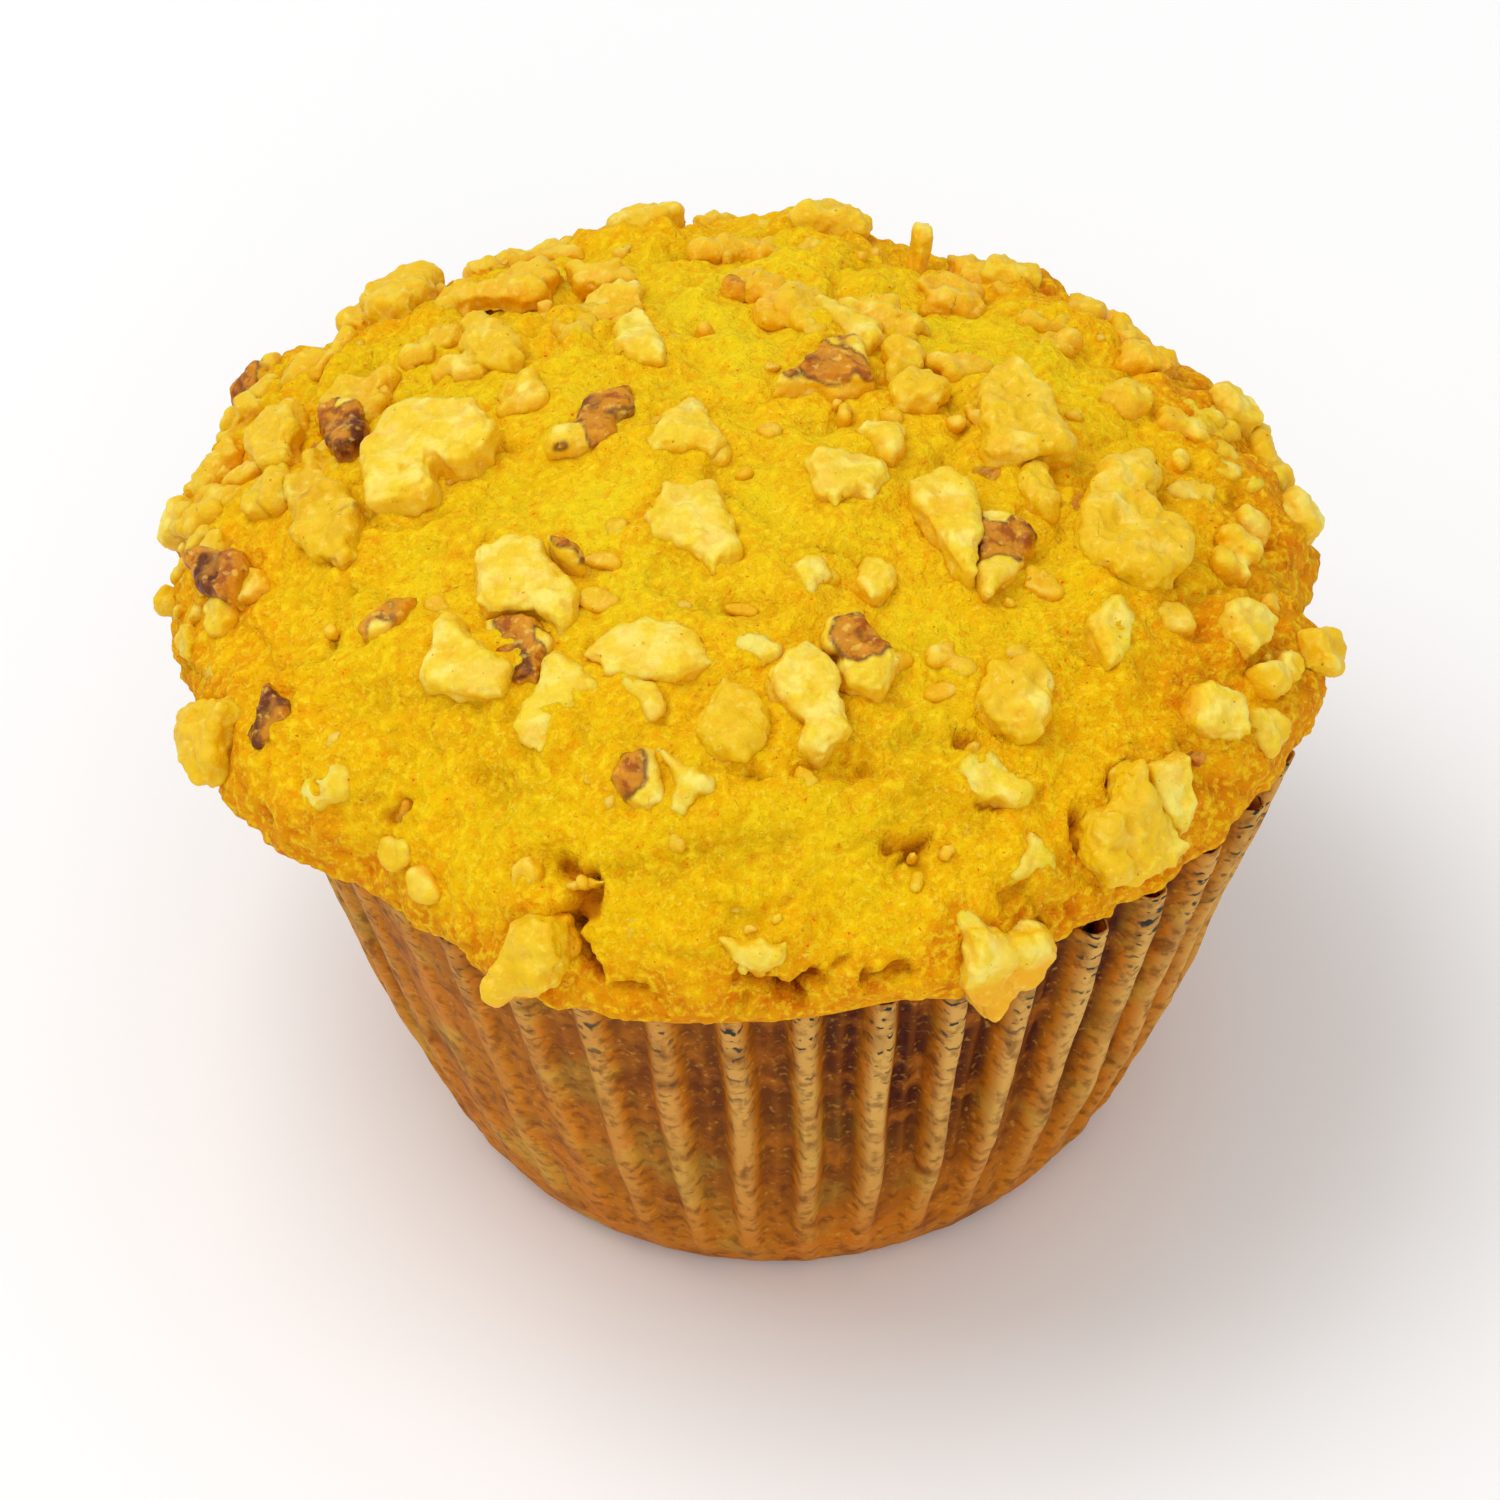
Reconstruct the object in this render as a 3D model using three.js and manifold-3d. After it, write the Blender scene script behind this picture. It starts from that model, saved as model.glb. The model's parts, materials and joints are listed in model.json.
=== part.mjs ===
// A walnut muffin in its pleated paper baking cup. Millimetres, +Z up.
// The origin is the centre of the cup's flat base, on the surface that it stands on.
// The front of the muffin, where the crown hangs over the cup, faces -Y.
import * as THREE from "three";
import { ParametricGeometry } from "three/addons/geometries/ParametricGeometry.js";
import { mergeVertices } from "three/addons/utils/BufferGeometryUtils.js";
import Module from "manifold-3d";

const wasm = await Module();
wasm.setup();

// Driving dimensions.
const CUP_HEIGHT = 38;
const FLUTES = 44;
const PAPER = 0.3; // wall of the greased paper with its film of batter
const CLEARANCE = 0.3; // between pieces that touch
const CROWN_TOP = 55.2; // height of the top of the muffin
const CROWN_CENTRE = new THREE.Vector2(-1.8, 2.0); // the crown rose a little off the cup's axis
const CROWN_RADIUS = 39.5;
const CROWN_EDGE = 40.4; // height of the crown's widest line
const LIP = { under: 4.5, drop: 2.3 }; // how far the crown's edge rolls inwards and down

// The radius of the cup's wall, halfway through its flutes, at the heights where it bends.
const WALL = [
  { z: 0, r: 22.3, flute: 0 },
  { z: 0.7, r: 24.9, flute: 0.3 },
  { z: 4, r: 26.7, flute: 1.4 },
  { z: 16, r: 30.6, flute: 2.0 },
  { z: 30, r: 34.1, flute: 2.1 },
  { z: CUP_HEIGHT, r: 36, flute: 2.2 },
];

// One flute: a narrow outward fold and a wide valley, as shares of its pitch and of half its depth.
// side is which side of the fold a corner is on.
const FLUTE = [
  { turn: -0.14, out: 1, side: -1 },
  { turn: 0.14, out: 1, side: 1 },
  { turn: 0.34, out: -1, side: 1 },
  { turn: 0.66, out: -1, side: -1 },
];
const FOLD_SIDE = 0.2; // share of the pitch that a fold's side covers
const AROUND = FLUTES * FLUTE.length;

// How far the rim leans off the base's centre, and where the crown pushed the wall outwards.
const LEAN = new THREE.Vector2(1.0, 0.9);
const FLARE = { out: 1.3, from: 20, bearing: 336, width: 24 };

// Colour and roughness of each stuff.
const CRUST = [0xf0c018, 0.85];
const PAPER_BROWN = [0xa9702f, 0.8];
const KERNEL = [0xf7d94e, 0.6];
const SKIN = [0xa8612a, 0.55];

// A closed three.js geometry as a solid, and a solid as a geometry.
function solidOf(geometry) {
  const bare = geometry.clone();
  bare.deleteAttribute("normal");
  bare.deleteAttribute("uv");
  const merged = mergeVertices(bare, 1e-3);
  const mesh = new wasm.Mesh({
    numProp: 3,
    vertProperties: merged.attributes.position.array,
    triVerts: new Uint32Array(merged.index.array),
  });
  return new wasm.Manifold(mesh);
}

function geometryOf(solid) {
  const mesh = solid.getMesh();
  const geometry = new THREE.BufferGeometry();
  const positions = new Float32Array(mesh.vertProperties);
  geometry.setAttribute("position", new THREE.BufferAttribute(positions, 3));
  geometry.setIndex(new THREE.BufferAttribute(new Uint32Array(mesh.triVerts), 1));
  geometry.computeVertexNormals();
  return geometry;
}

// How much of a swell is left at a bearing: 1 at its centre, and little beyond its width.
const swell = (bearing, centre, width) => {
  const away = THREE.MathUtils.euclideanModulo(bearing - centre + 180, 360) - 180;
  return Math.exp(-((away / width) ** 2));
};

// The cup: a profile turned on a lathe, then folded into flutes.

// The wall's radius and the depth of its flutes at a height.
function wallAt(z) {
  const above = WALL.findIndex((ring) => ring.z >= z);
  const high = WALL[above < 0 ? WALL.length - 1 : Math.max(above, 1)];
  const low = WALL[WALL.indexOf(high) - 1];
  const share = Math.min((z - low.z) / (high.z - low.z), 1);
  return {
    radius: THREE.MathUtils.lerp(low.r, high.r, share),
    depth: THREE.MathUtils.lerp(low.flute, high.flute, share),
  };
}

// How far the wall's line moves outwards at a bearing and a height.
function flareAt(bearing, z) {
  const risen = THREE.MathUtils.smoothstep(z, FLARE.from, CUP_HEIGHT);
  return FLARE.out * risen * swell(bearing, FLARE.bearing, FLARE.width);
}

// Folds a turned profile into flutes. A corner that is further in than the wall's own line slides
// towards its fold's middle, which keeps the paper and the gap behind it even.
function fluted(profile) {
  const geometry = new THREE.LatheGeometry(profile, AROUND);
  geometry.rotateX(Math.PI / 2);
  const place = geometry.attributes.position;
  for (let i = 0; i < place.count; i++) {
    const [x, y, z] = [place.getX(i), place.getY(i), place.getZ(i)];
    const radius = Math.hypot(x, y);
    const wall = wallAt(z);
    const pitch = (2 * Math.PI * wall.radius) / FLUTES;
    const steepness = Math.atan2(wall.depth, FOLD_SIDE * pitch);
    const inset = Math.min(wall.radius - radius, PAPER + CLEARANCE);
    const step = Math.round((Math.atan2(y, x) / (2 * Math.PI)) * AROUND) + AROUND;
    const fold = FLUTE[step % FLUTE.length];
    const slide = (fold.side * inset * Math.tan(steepness / 2)) / pitch;
    const turn = (Math.floor(step / FLUTE.length) + fold.turn - slide) / FLUTES;
    const push = (wall.depth / 2) * fold.out + flareAt(360 * turn, z);
    const folded = radius < 1 ? 0 : radius + push;
    const centre = LEAN.clone().multiplyScalar(z / CUP_HEIGHT);
    const angle = 2 * Math.PI * turn;
    place.setXY(i, centre.x + folded * Math.cos(angle), centre.y + folded * Math.sin(angle));
  }
  return geometry;
}

// The line of the wall, moved inwards, and off the floor, by inset.
const wallLine = (inset) =>
  WALL.map(({ r, z }) => new THREE.Vector2(r - inset, z < 1 ? z + inset : z));

function paperCup() {
  const outside = wallLine(0);
  const inside = wallLine(PAPER).reverse();
  return fluted([new THREE.Vector2(0, 0), ...outside, ...inside, new THREE.Vector2(0, PAPER)]);
}

// The part of the muffin that the cup moulded. Above the rim it goes straight up into the crown.
function mouldedBody() {
  const wall = wallLine(PAPER + CLEARANCE);
  const neck = new THREE.Vector2(wall.at(-1).x, CROWN_EDGE);
  return fluted([new THREE.Vector2(0, wall[0].y), ...wall, neck, new THREE.Vector2(0, neck.y)]);
}

// The room that the top of the paper takes up, for cutting it out of the crown.
function rimRoom() {
  const [low, rim] = WALL.slice(-2);
  const inner = PAPER + CLEARANCE;
  const line = [
    new THREE.Vector2(low.r - inner, low.z),
    new THREE.Vector2(low.r + CLEARANCE, low.z),
    new THREE.Vector2(rim.r + CLEARANCE, rim.z + CLEARANCE),
    new THREE.Vector2(rim.r - inner, rim.z + CLEARANCE),
  ];
  return fluted([...line, line[0]]);
}

// The crown: a flattened dome with a few swells, whose edge rolls in over the rim of the paper.
// In front the batter ran over the rim and hangs down; to its left it stayed inside the paper.
const edgeRadius = (bearing) =>
  CROWN_RADIUS +
  0.6 * swell(bearing, 272, 24) -
  3.6 * swell(bearing, 227, 18) -
  1.1 * swell(bearing, 194, 12) +
  1.6 * swell(bearing, 143, 20) -
  1.9 * swell(bearing, 55, 22) +
  2.2 * swell(bearing, 335, 18);

const edgeHeight = (bearing) =>
  CROWN_EDGE -
  0.6 * swell(bearing, 227, 15) -
  0.8 * swell(bearing, 100, 30) +
  0.4 * swell(bearing, 10, 25);

// A point of the crown. Bearing runs round from +X. Polar is 0 at the top, 90 at the widest line,
// and more than 90 under it.
function crownPoint(bearing, polar) {
  const turn = THREE.MathUtils.degToRad(bearing);
  const tip = THREE.MathUtils.degToRad(polar);
  const radius = edgeRadius(bearing);
  const edge = edgeHeight(bearing);
  const under = polar > 90;
  const out = under ? radius - LIP.under * (1 - Math.sin(tip)) : radius * Math.sin(tip);
  const rise = Math.cos(tip) * (under ? LIP.drop : CROWN_TOP - edge);
  return new THREE.Vector3(
    CROWN_CENTRE.x + out * Math.cos(turn),
    CROWN_CENTRE.y + out * Math.sin(turn),
    edge + rise,
  );
}

// The dome takes the first rings, the lip the next ones, and the last ring closes the underside.
function crown() {
  const dome = 12;
  const lip = 4;
  const polarOf = (ring) => (ring <= dome ? (90 * ring) / dome : 90 + (90 * (ring - dome)) / lip);
  const centre = new THREE.Vector3(CROWN_CENTRE.x, CROWN_CENTRE.y, CROWN_EDGE - LIP.drop);
  const surface = (u, v, target) => {
    const ring = Math.round(u * (dome + lip + 1));
    target.copy(ring > dome + lip ? centre : crownPoint((v * 360) % 360, polarOf(ring)));
  };
  return new ParametricGeometry(surface, dome + lip + 1, 60);
}

// Chopped walnut. Each piece lies on the crown at a bearing and a polar angle. edge is its outline
// on the crust, across and up as seen from the front and above, and high is how far it stands out.
// A piece with skin shows the kernel's brown skin.
const WALNUTS = [
  {
    at: [256, 13],
    high: 1.7,
    edge: [
      [-3, 1.5], [-2, 4], [1.5, 4], [3, -1], [3, -2.5], [1, -4.5], [0, -2.5], [-1, -2], [-3, 0],
    ],
  },
  {
    at: [139, 5],
    high: 1.6,
    edge: [
      [-2.5, -2], [0, 1], [1, 1.5], [2, 0.5], [3, -3], [2, -4.5], [1, -3.5], [-2, -3.5],
    ],
  },
  {
    at: [2, 16],
    high: 1.6,
    edge: [
      [-2, -0.5], [-1, 1], [0.5, 0.5], [1.5, -0.5], [1.5, -2.5], [0.5, -3.5],
    ],
  },
  {
    at: [337, 14],
    high: 1.8,
    edge: [
      [-4, 0.5], [-3, 1.5], [0, 1.5], [1.5, 0.5], [2, -1], [0.5, -3.5], [-0.5, -2.5], [-2, -4],
      [-3, -3],
    ],
  },
  { at: [158, 14], high: 1.8, skin: true, edge: [[-3, -3.5], [0, 1], [3, 2], [3.5, 0.5], [1.5, -3.5]] },
  {
    at: [42, 16],
    high: 2,
    skin: true,
    edge: [
      [-4, -2.5], [-1.5, 0], [-0.5, 2.5], [2, 2.5], [3, -2], [0.5, -2.5], [-2, -2.5],
    ],
  },
  {
    at: [53, 25],
    high: 1.4,
    edge: [
      [-2.5, 3.5], [-1.5, 3.5], [0, 1], [2, 0], [2.5, -2.5], [1, -3.5], [-0.5, -1], [-2, 1],
    ],
  },
  {
    at: [114, 19],
    high: 1.8,
    edge: [
      [-1.5, 2], [0, 4], [1, 3], [2, -1], [1.5, -3.5], [0, -3.5], [-1.5, -2],
    ],
  },
  { at: [137, 31], high: 1.8, edge: [[-2, 4], [-0.5, 4], [1.5, 0], [2, -3.5], [1, -4.5], [-2, -2]] },
  {
    at: [125, 27],
    high: 1.5,
    edge: [
      [-2, 2.5], [-1, 3.5], [1.5, 4], [2.5, 2.5], [1, 1.5], [0.5, -2], [-1.5, -1],
    ],
  },
  {
    at: [172, 33],
    high: 3,
    edge: [
      [-1, 4], [0.5, 4.5], [5, 2.5], [6.5, -0.5], [6, -2.5], [4, -3.5], [2, -2.5], [2, -5.5],
      [0.5, -6], [-2.5, -5.5], [-3, 0],
    ],
  },
  {
    at: [163, 43],
    high: 2.2,
    skin: true,
    edge: [
      [-1.5, 2.5], [0, 3.5], [1.5, 2], [2, -1], [1, -3.5], [0, -3.5], [-1, -1],
    ],
  },
  {
    at: [184, 44],
    high: 2.4,
    skin: true,
    edge: [
      [-2.5, 3], [0.5, 3.5], [1.5, 2.5], [2.5, -0.5], [2, -3.5], [1, -4], [-1, -2], [-2.5, 0],
    ],
  },
  {
    at: [222, 40],
    high: 2.8,
    edge: [
      [-3.5, -1.5], [-3, -3], [-1.5, -4], [2, -4.5], [2.5, -2.5], [0.5, 0], [-1.5, 2.5], [-2.5, 2],
    ],
  },
  {
    at: [228, 32],
    high: 1.7,
    skin: true,
    edge: [
      [-4, 0.5], [-4, -2], [-2, -5], [-0.5, -5.5], [0.5, -2.5], [0, 0],
    ],
  },
  {
    at: [214, 26],
    high: 2.3,
    edge: [
      [-3.5, 1], [-1, 1.5], [1, 0.5], [3.5, -4], [3, -6.5], [2, -7], [0.5, -5], [-2.5, -5],
      [-3.5, -3.5],
    ],
  },
  {
    at: [251, 29],
    high: 1.6,
    edge: [
      [-4, -0.5], [-2, 1], [0.5, 2], [3, 1], [5, -2.5], [4, -3], [1.5, -3.5], [-2.5, -2],
    ],
  },
  {
    at: [240, 39],
    high: 1.6,
    edge: [
      [-1.5, 1], [0, 3], [2, 1], [3, -0.5], [1.5, -1.5], [0, -3], [-1.5, -4.5], [-3.5, -2.5],
    ],
  },
  {
    at: [268, 38],
    high: 2.2,
    edge: [
      [-2, -0.5], [-1, 2], [0, 3], [2.5, 0.5], [2.5, -1], [1, -3.5], [-1, -2.5],
    ],
  },
  {
    at: [280, 36],
    high: 2.4,
    edge: [
      [-1, 3], [0.5, 4], [2, 2.5], [3, -3.5], [1, -5], [-0.5, -4.5], [0, -2.5], [-2.5, 1],
    ],
  },
  {
    at: [292, 31],
    high: 2.2,
    skin: true,
    edge: [
      [-2, 0.5], [-1.5, 1.5], [0.5, 1.5], [3, -2], [1.5, -4.5], [-0.5, -4], [-2, -1],
    ],
  },
  {
    at: [256, 46],
    high: 1.7,
    skin: true,
    edge: [
      [-2, 0], [-1, 1.5], [1, 1.5], [1.5, 0], [1.5, -2], [0.5, -2.5], [-1.5, -1],
    ],
  },
  {
    at: [263, 47],
    high: 1.6,
    edge: [
      [-2, 3], [1.5, 0.5], [1.5, -0.5], [0.5, -0.5], [-0.5, -2], [-1.5, -1.5], [-1, 0.5],
    ],
  },
  {
    at: [291, 20],
    high: 1.5,
    edge: [
      [-1, -0.5], [0, 1], [1, 1], [2, -1], [1, -1.5], [0.5, -3.5], [-0.5, -2],
    ],
  },
  {
    at: [305, 25],
    high: 1.6,
    edge: [
      [-1.5, -0.5], [-0.5, 1.5], [0.5, 1.5], [1.5, 0.5], [1.5, -0.5], [-0.5, -2],
    ],
  },
  {
    at: [327, 25],
    high: 2.6,
    edge: [
      [-2.5, 3.5], [0, 4.5], [2, 3.5], [2, -2], [1.5, -5], [0.5, -5], [-0.5, -2], [-2, 1],
    ],
  },
  {
    at: [336, 34],
    high: 1.6,
    skin: true,
    edge: [
      [-5, 2], [-2.5, 1.5], [-0.5, -0.5], [-2, -3], [-4.5, -6], [-5, -5],
    ],
  },
  { at: [349, 33], high: 1.7, edge: [[-2, 0.5], [-1, 1.5], [0, 1], [1, -2.5], [0, -3.5], [-1.5, -2]] },
  {
    at: [3, 31],
    high: 2.8,
    edge: [
      [-2.5, 4], [0, 5], [2, 3], [3, 0.5], [3, -3.5], [0, -4.5], [-2.5, -4.5], [-3, -1.5],
    ],
  },
  { at: [19, 22], high: 1.8, edge: [[-2, -0.5], [-1, 1.5], [1, 1.5], [2, -0.5], [1, -2], [-1.5, -2]] },
  {
    at: [349, 44],
    high: 2.8,
    edge: [
      [-4, 0], [-1.5, 3], [0.5, 4], [2, 3.5], [0.5, -0.5], [2.5, -2.5], [3, -5], [2, -7.5],
      [0, -8.5], [-2.5, -8.5], [-4.5, -6],
    ],
  },
  { at: [327, 50], high: 2.2, edge: [[-3.5, 0.5], [-2, 2.5], [-1, 2.5], [0, 0], [-1, -2.5], [-2.5, -3]] },
  {
    at: [310, 45],
    high: 2.2,
    edge: [
      [-2.5, -1], [-2, 1], [0.5, 1.5], [2, 1], [2.5, -0.5], [2, -3], [1, -4.5], [-1, -4.5],
      [-2.5, -3],
    ],
  },
  {
    at: [340, 65],
    high: 1.8,
    edge: [
      [-3.5, 0], [-1, 1], [1, 0], [0, -2], [-1.5, -3.5], [-2.5, -2.5], [-3.5, -1],
    ],
  },
  {
    at: [325, 70],
    high: 1.9,
    edge: [
      [-2, 3], [-1, 3.5], [1.5, 2.5], [1.5, 1], [2, 0], [0.5, -0.5], [-1, -0.5], [-2.5, 0.5],
    ],
  },
  {
    at: [300, 54],
    high: 1.8,
    edge: [
      [-3, -0.5], [-2, 1], [0, 1.5], [0.5, 0], [2.5, -1.5], [2, -2.5], [-1.5, -2],
    ],
  },
  { at: [300, 69], high: 1.3, edge: [[-0.5, 1.5], [1, 0], [1.5, -1.5], [-2, -1.5], [-1.5, -0.5]] },
  {
    at: [312, 74],
    high: 2.8,
    edge: [
      [-2, 3.5], [-0.5, 4], [0, 1.5], [1, 0], [2.5, -2], [1, -3], [-1, -4], [-3.5, -4], [-5, -2],
      [-4.5, 0], [-2.5, 1.5],
    ],
  },
  {
    at: [312, 74],
    high: 2.2,
    edge: [
      [0.5, 3.5], [3.5, 4], [4, 1], [3, -1], [2, -1.5], [1, 0], [0.5, 1.5],
    ],
  },
  {
    at: [294, 88],
    high: 2.2,
    edge: [
      [-4, 0], [-3, 4], [-2, 4], [0, 2], [2, 2], [3, 0], [2, -2], [0, -2], [-1, -3], [-2, -4],
      [-2.5, -2.5],
    ],
  },
  { at: [270, 71], high: 1.3, edge: [[-2.5, 0.5], [0, 0], [2, 0], [1.5, -1.5], [0, -2], [-2, -1]] },
  {
    at: [249, 76],
    high: 2.4,
    edge: [
      [-2, 1.5], [-0.5, 2], [1, 1.5], [1.5, -1], [0, -2.5], [-3.5, -3.5], [-4.5, -2.5], [-3, -0.5],
    ],
  },
  {
    at: [217, 64],
    high: 1.4,
    edge: [
      [-3.5, -0.5], [-0.5, 0], [0.5, -0.5], [0.5, -2], [-2.5, -3], [-3.5, -1.5],
    ],
  },
  {
    at: [205, 65],
    high: 1.5,
    skin: true,
    edge: [
      [0, 2.5], [1.5, 0.5], [2, -0.5], [0.5, -1.5], [-1, -2.5], [-2, -1], [-1, 0.5],
    ],
  },
  {
    at: [200, 75],
    high: 2.4,
    edge: [
      [-4.5, 0.5], [-3.5, 1], [0, 2], [1.5, 1], [1, -0.5], [0.5, -2.5], [-1, -4], [-2.5, -3.5],
      [-4.5, -1.5],
    ],
  },
  {
    at: [180, 65],
    high: 2.2,
    skin: true,
    edge: [
      [-1.5, 2], [0, 1.5], [3, -0.5], [3, -2.5], [2, -4.5], [0, -2.5], [-1, 0],
    ],
  },
  {
    at: [143, 80],
    high: 2.5,
    skin: true,
    edge: [
      [-2.5, -0.5], [-2, 1.5], [0, 2.5], [2, 1.5], [2.5, -0.5], [1, -2], [-1, -2.5],
    ],
  },
  { at: [165, 82], high: 2.1, edge: [[-2, -0.5], [-1, 1.5], [1, 2], [2, 0.5], [1.5, -1], [-0.5, -2]] },
  {
    at: [131, 56],
    high: 3,
    edge: [
      [-2.5, -2.5], [-2.5, 2.5], [0.5, 3], [3, 2.5], [2.5, -0.5], [1, -4], [-1, -4],
    ],
  },
  {
    at: [160, 55],
    high: 2,
    edge: [
      [-2, -1], [-1, 1.5], [0.5, 2.5], [2, 1.5], [2, -1.5], [1, -4.5], [-0.5, -4.5],
    ],
  },
  {
    at: [98, 59],
    high: 2.4,
    edge: [
      [-2.5, -1], [-1.5, 1], [0, 2], [1.5, 1.5], [3, -0.5], [2, -2], [-1, -2],
    ],
  },
  { at: [74, 55], high: 2.6, edge: [[-2.5, -1], [-2, 1], [0, 2], [2.5, 2], [3, 0], [2.5, -2], [-1, -2]] },
  { at: [48, 58], high: 2.4, edge: [[-2, -1.5], [-2, 1], [-0.5, 2], [1.5, 1.5], [2, 0], [2, -2]] },
  { at: [14, 68], high: 2.5, edge: [[-2.5, -0.5], [-1.5, 1.5], [1, 2], [2.5, 0.5], [2, -1], [-0.5, -2]] },
  { at: [1, 79], high: 2.3, edge: [[-2, -1.5], [-2, 1], [0, 2], [2, 1.5], [2.5, -1], [0.5, -2]] },
  { at: [343, 82], high: 2.2, edge: [[-2.5, -1], [-1, 1.5], [2, 1.5], [3, 0], [1, -1.5]] },
  { at: [254, 36], high: 1.3, edge: [[-1.5, 1.5], [-1, 2], [1, 1], [1.5, -1], [0.5, -1.5], [-1.5, 0.5]] },
  {
    at: [272, 26],
    high: 1.4,
    edge: [
      [-1.5, -1.5], [-1, -0.5], [1, -0.5], [2.5, -1.5], [2.5, -3], [1, -3.5], [-0.5, -2.5],
    ],
  },
];

// How a chopped piece ends: broken corners round its cut top, and a foot in the crust.
const CHIP = { bevel: 0.5, foot: 1.4 };

// A piece of walnut in its own frame, with the crust at z = 0, grown by room on every side.
function chip({ edge, high }, room) {
  const outline = new THREE.Shape(edge.map(([across, up]) => new THREE.Vector2(across, up)));
  const geometry = new THREE.ExtrudeGeometry(outline, {
    depth: high + CHIP.foot - 2 * CHIP.bevel + 2 * room,
    bevelThickness: CHIP.bevel,
    bevelSize: CHIP.bevel,
    bevelOffset: room - CHIP.bevel,
    bevelSegments: 1,
  });
  return geometry.translate(0, 0, CHIP.bevel - CHIP.foot - room);
}

// Where a piece lies: its middle on the crown's skin, with its top facing outwards.
function lie({ at }) {
  const [bearing, polar] = at;
  const here = crownPoint(bearing, polar);
  const along = crownPoint(bearing + 1, polar).sub(here);
  const down = crownPoint(bearing, polar + 1).sub(here);
  const normal = down.cross(along).normalize();
  const across = new THREE.Vector3(1, 0, 0);
  const up = new THREE.Vector3(0, 0.69, 0.72);
  if (Math.abs(normal.x) < 0.7) {
    across.addScaledVector(normal, -across.dot(normal)).normalize();
    up.crossVectors(normal, across);
  } else {
    up.addScaledVector(normal, -up.dot(normal)).normalize();
    across.crossVectors(up, normal);
  }
  return new THREE.Matrix4().makeBasis(across, up, normal).setPosition(here);
}

// The solid of a walnut piece where it lies, grown outwards by room on every side.
function walnut(piece, room = 0) {
  return solidOf(chip(piece, room).applyMatrix4(lie(piece)));
}

// A solid as a named mesh whose own frame is at place.
function pieceOf(name, solid, [color, roughness], place = new THREE.Matrix4()) {
  const own = solid.transform(place.clone().invert().elements);
  const finish = new THREE.MeshStandardMaterial({ color, roughness, metalness: 0 });
  const mesh = new THREE.Mesh(geometryOf(own), finish);
  mesh.name = name;
  mesh.applyMatrix4(place);
  return mesh;
}

// Every walnut piece has a socket in the crust, and gives way to the pieces laid before it.
const topping = new THREE.Group();
let cake = solidOf(crown()).add(solidOf(mouldedBody())).subtract(solidOf(rimRoom()));
let laid = solidOf(rimRoom());
WALNUTS.forEach((piece, index) => {
  const name = `walnut_${String(index + 1).padStart(2, "0")}`;
  const solid = walnut(piece).subtract(laid);
  topping.add(pieceOf(name, solid, piece.skin ? SKIN : KERNEL, lie(piece)));
  const socket = walnut(piece, CLEARANCE);
  laid = laid.add(socket);
  cake = cake.subtract(socket);
});

const muffin = new THREE.Group();
muffin.add(pieceOf("paper_cup", solidOf(paperCup()), PAPER_BROWN));
muffin.add(pieceOf("muffin_cake", cake, CRUST));
muffin.add(topping);

export default muffin;
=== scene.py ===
import json
import math

import bpy
import numpy as np
from mathutils import Matrix, Vector, noise


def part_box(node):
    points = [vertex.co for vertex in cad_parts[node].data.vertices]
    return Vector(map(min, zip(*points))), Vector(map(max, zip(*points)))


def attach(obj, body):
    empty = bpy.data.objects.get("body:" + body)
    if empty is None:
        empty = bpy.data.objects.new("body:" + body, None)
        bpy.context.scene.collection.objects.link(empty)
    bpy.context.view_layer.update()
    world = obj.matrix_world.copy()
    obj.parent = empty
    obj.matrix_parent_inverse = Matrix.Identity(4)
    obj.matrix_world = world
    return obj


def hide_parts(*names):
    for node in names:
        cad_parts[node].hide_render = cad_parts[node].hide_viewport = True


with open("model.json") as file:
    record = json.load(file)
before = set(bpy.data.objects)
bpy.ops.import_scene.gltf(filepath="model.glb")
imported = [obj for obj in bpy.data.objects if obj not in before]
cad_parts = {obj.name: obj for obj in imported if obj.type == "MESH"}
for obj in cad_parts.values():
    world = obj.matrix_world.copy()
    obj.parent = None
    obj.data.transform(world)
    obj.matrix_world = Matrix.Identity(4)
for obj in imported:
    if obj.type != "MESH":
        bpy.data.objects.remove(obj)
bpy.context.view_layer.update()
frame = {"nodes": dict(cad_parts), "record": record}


# ---------------------------------------------------------------- The view
# The muffin is seen from the front and from above, at the height of someone sitting at the table.
# The camera is held a little crooked, so the muffin leans to the left.

AIM = Vector((-0.0014, 0.0, 0.028))
CAMERA_DISTANCE = 0.42
CAMERA_ELEVATION = math.radians(44)
CAMERA_ROLL = math.radians(4.3)
CAMERA_LENS = 140.4
SENSOR_WIDTH = 36

camera_data = bpy.data.cameras.new("camera")
camera_data.sensor_width = SENSOR_WIDTH
camera_data.lens = CAMERA_LENS
camera = bpy.data.objects.new("camera", camera_data)
bpy.context.scene.collection.objects.link(camera)
bpy.context.scene.camera = camera

camera_back = Vector((0, -math.cos(CAMERA_ELEVATION), math.sin(CAMERA_ELEVATION)))
level_up = camera_back.cross(Vector((1, 0, 0)))
camera_right = math.cos(CAMERA_ROLL) * Vector((1, 0, 0)) - math.sin(CAMERA_ROLL) * level_up
camera_up = math.sin(CAMERA_ROLL) * Vector((1, 0, 0)) + math.cos(CAMERA_ROLL) * level_up
camera_turn = Matrix((camera_right, camera_up, camera_back)).transposed()
camera.matrix_world = Matrix.Translation(AIM + CAMERA_DISTANCE * camera_back) @ camera_turn.to_4x4()


# ---------------------------------------------------------------- The cake
# One piece of baked batter: a body that the paper cup moulded, and a low domed crown that rose over
# the rim. The crust is a fine golden crumb, browned at the edge, with soft folds and a few cracks.

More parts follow.
